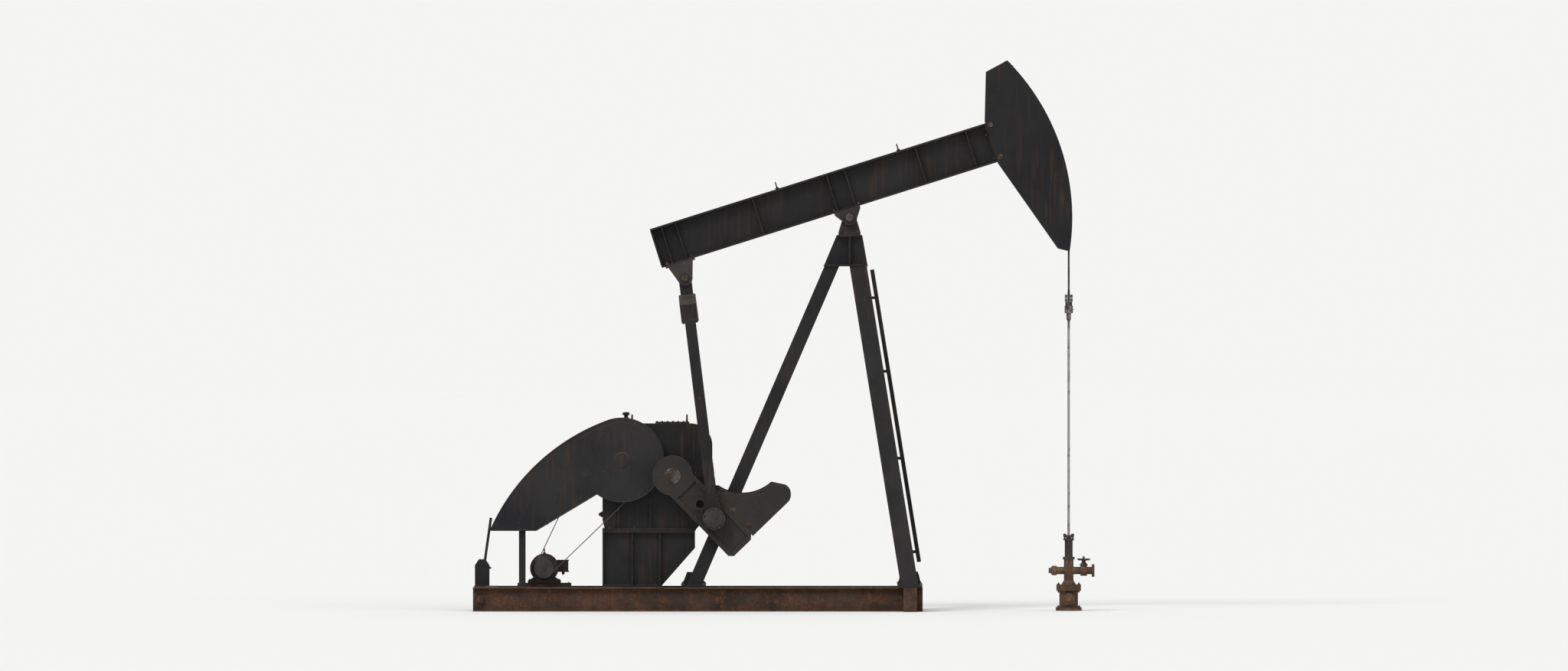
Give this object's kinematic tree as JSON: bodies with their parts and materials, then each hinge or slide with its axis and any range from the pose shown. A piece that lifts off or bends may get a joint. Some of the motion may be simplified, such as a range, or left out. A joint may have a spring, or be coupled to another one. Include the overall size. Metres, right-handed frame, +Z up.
{
  "type": "beam pumping unit",
  "caption": "Beam pumping unit with walking beam, horsehead, crank-hung counterweights, gearbox, guarded belt drive and wellhead.",
  "frame": {"origin": "middle of the unit's length and width, on the ground", "axes": "+X along the unit towards the well, +Y to the side of the brake, +Z up"},
  "size_m": [9.282, 2.212, 8.231],
  "materials": {
    "dark_paint": "weathered paint",
    "rusty_steel": "rusted",
    "cast_iron": "rough, dusty",
    "bare_steel": "worn bright",
    "wire_rope": "greased",
    "rubber": "matte"
  },
  "bodies": {
    "base": {"skid_beam_left": "rusty_steel", "skid_beam_right": "rusty_steel", "skid_crossmembers": "rusty_steel", "front_outriggers": "rusty_steel", "front_leg_left": "dark_paint", "front_leg_right": "dark_paint", "rear_leg_left": "dark_paint", "rear_leg_right": "dark_paint", "front_braces": "dark_paint", "rear_braces": "dark_paint", "post_cap": "dark_paint", "ladder": "dark_paint", "centre_bearing": "cast_iron", "pedestal": "dark_paint", "gearbox_case": "dark_paint", "gearbox_cover": "dark_paint", "large_sheave": "cast_iron", "belts": "rubber", "belt_guard": "dark_paint", "motor": "dark_paint", "motor_sheave": "cast_iron", "motor_rails": "rusty_steel", "brake_drum": "cast_iron", "brake_lever": "dark_paint", "casing_head": "rusty_steel", "flow_tee": "rusty_steel", "stuffing_box": "cast_iron"},
    "beam": {"walking_beam": "dark_paint", "saddle": "cast_iron", "tail_bearing": "cast_iron", "horsehead_cheeks": "dark_paint", "horsehead_frame": "dark_paint", "head_ropes": "wire_rope"},
    "pitmans": {"equalizer": "dark_paint", "pitman_left": "dark_paint", "pitman_right": "dark_paint", "wrist_bearings": "cast_iron"},
    "crank": {"crankshaft": "bare_steel", "crank_left": "cast_iron", "crank_right": "cast_iron", "weight_left": "cast_iron", "weight_right": "cast_iron"},
    "rod": {"hanging_ropes": "wire_rope", "carrier_bar": "bare_steel", "polished_rod": "bare_steel"}
  },
  "joints": [
    {"name": "beam_rock", "type": "hinge", "parent": "base", "child": "beam", "pos_m": [0.979, 0, 5.88], "axis": [0, -1, 0], "range_deg": [-34.5, 5.6]},
    {"name": "pitman_swing", "type": "hinge", "parent": "beam", "child": "pitmans", "pos_m": [-1.4809, 0, 4.9781], "axis": [0, -1, 0], "range_deg": [-4.4, 26.6]},
    {"name": "rod_lift", "type": "slide", "parent": "base", "child": "rod", "axis": [0, 0, 1], "range_m": [-1.974, 0.321], "deforming": ["hanging_ropes"]},
    {"name": "crank_spin", "type": "hinge", "parent": "base", "child": "crank", "pos_m": [-1.661, 0, 2.03], "axis": [0, 1, 0], "continuous": true}
  ],
  "couplings": [
    {"joint": "pitman_swing", "follows": "beam_rock", "ratio": -0.77},
    {"joint": "rod_lift", "follows": "beam_rock", "m_per_rad": 3.277}
  ]
}
